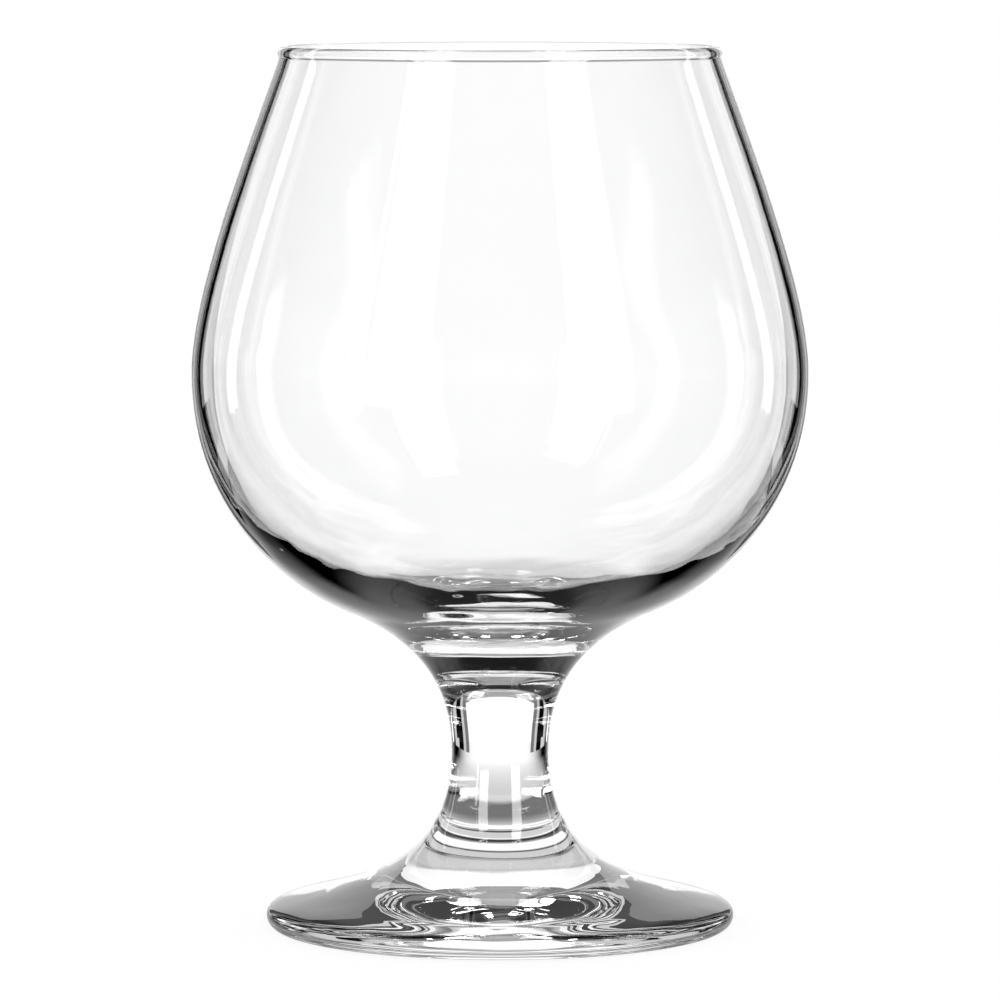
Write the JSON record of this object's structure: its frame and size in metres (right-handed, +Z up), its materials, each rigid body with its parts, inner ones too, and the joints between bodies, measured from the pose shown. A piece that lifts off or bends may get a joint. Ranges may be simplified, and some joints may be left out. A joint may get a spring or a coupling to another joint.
{
  "type": "brandy snifter",
  "caption": "Clear glass brandy snifter: a wide round bowl drawn in to a beaded mouth, on a short waisted stem and a domed round foot.",
  "frame": {"origin": "centre of the plane on which the ring under the foot stands", "axes": "+Z up along the glass's own axis; the glass is round, so X and Y are any two level directions; the picture looks along +Y"},
  "size_m": [0.1016, 0.1016, 0.1454],
  "materials": {
    "glass": "clear colourless soda glass, fire-polished"
  },
  "bodies": {
    "root": {"bowl": "glass", "stem": "glass", "foot": "glass"}
  },
  "joints": []
}
